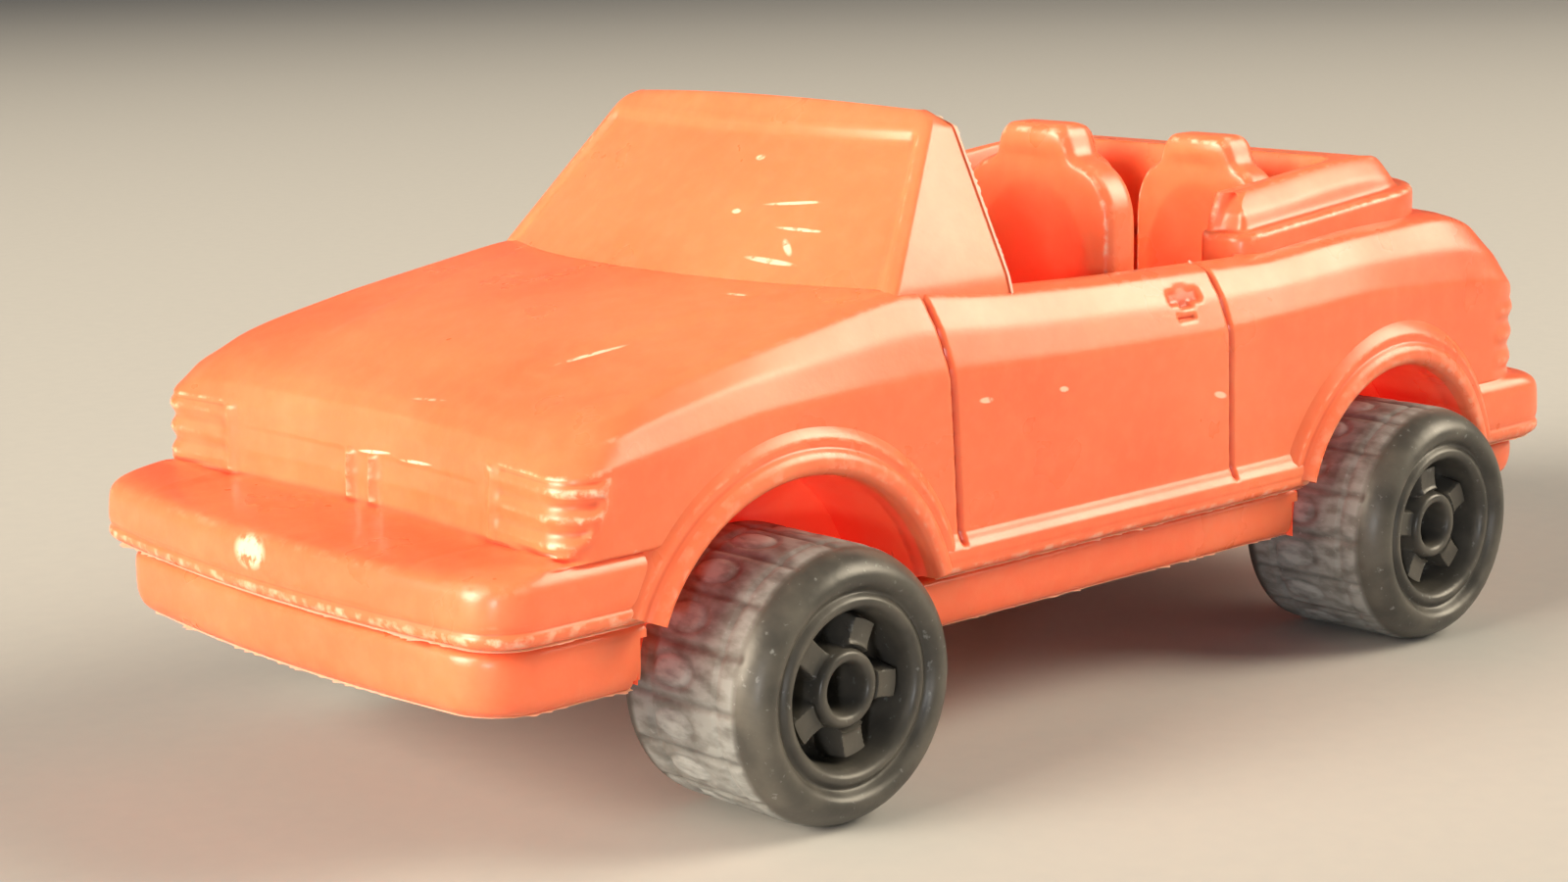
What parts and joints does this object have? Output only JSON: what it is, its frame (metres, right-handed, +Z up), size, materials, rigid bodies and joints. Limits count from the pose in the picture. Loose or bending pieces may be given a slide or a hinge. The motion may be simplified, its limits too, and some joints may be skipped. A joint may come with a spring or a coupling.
{
  "type": "toy convertible car",
  "caption": "Hollow moulded plastic toy convertible with an open cockpit, bucket seats, a folded-hood stack and one-piece black wheels that roll on steel axle pins.",
  "frame": {"origin": "on the ground, under the middle of the car's length and width", "axes": "+X towards the nose, +Y towards the car's left side, +Z up"},
  "size_m": [0.116, 0.0584, 0.0447],
  "materials": {
    "body_plastic": "orange-red soft moulded polyethylene, satin, scuffed",
    "wheel_plastic": "black moulded plastic, satin, worn grey on the tread",
    "axle_steel": "plain drawn steel pin"
  },
  "bodies": {
    "car": {"body_shell": "body_plastic", "chassis": "body_plastic", "seat_tub": "body_plastic"},
    "front_wheels": {"front_axle": "axle_steel", "wheel_front_left": "wheel_plastic", "wheel_front_right": "wheel_plastic"},
    "rear_wheels": {"rear_axle": "axle_steel", "wheel_rear_left": "wheel_plastic", "wheel_rear_right": "wheel_plastic"}
  },
  "joints": [
    {"name": "front_axle_spin", "type": "hinge", "parent": "car", "child": "front_wheels", "pos_m": [0.0315, 0, 0.0093], "axis": [0, 1, 0], "continuous": true},
    {"name": "rear_axle_spin", "type": "hinge", "parent": "car", "child": "rear_wheels", "pos_m": [-0.0325, 0, 0.0093], "axis": [0, 1, 0], "continuous": true}
  ]
}
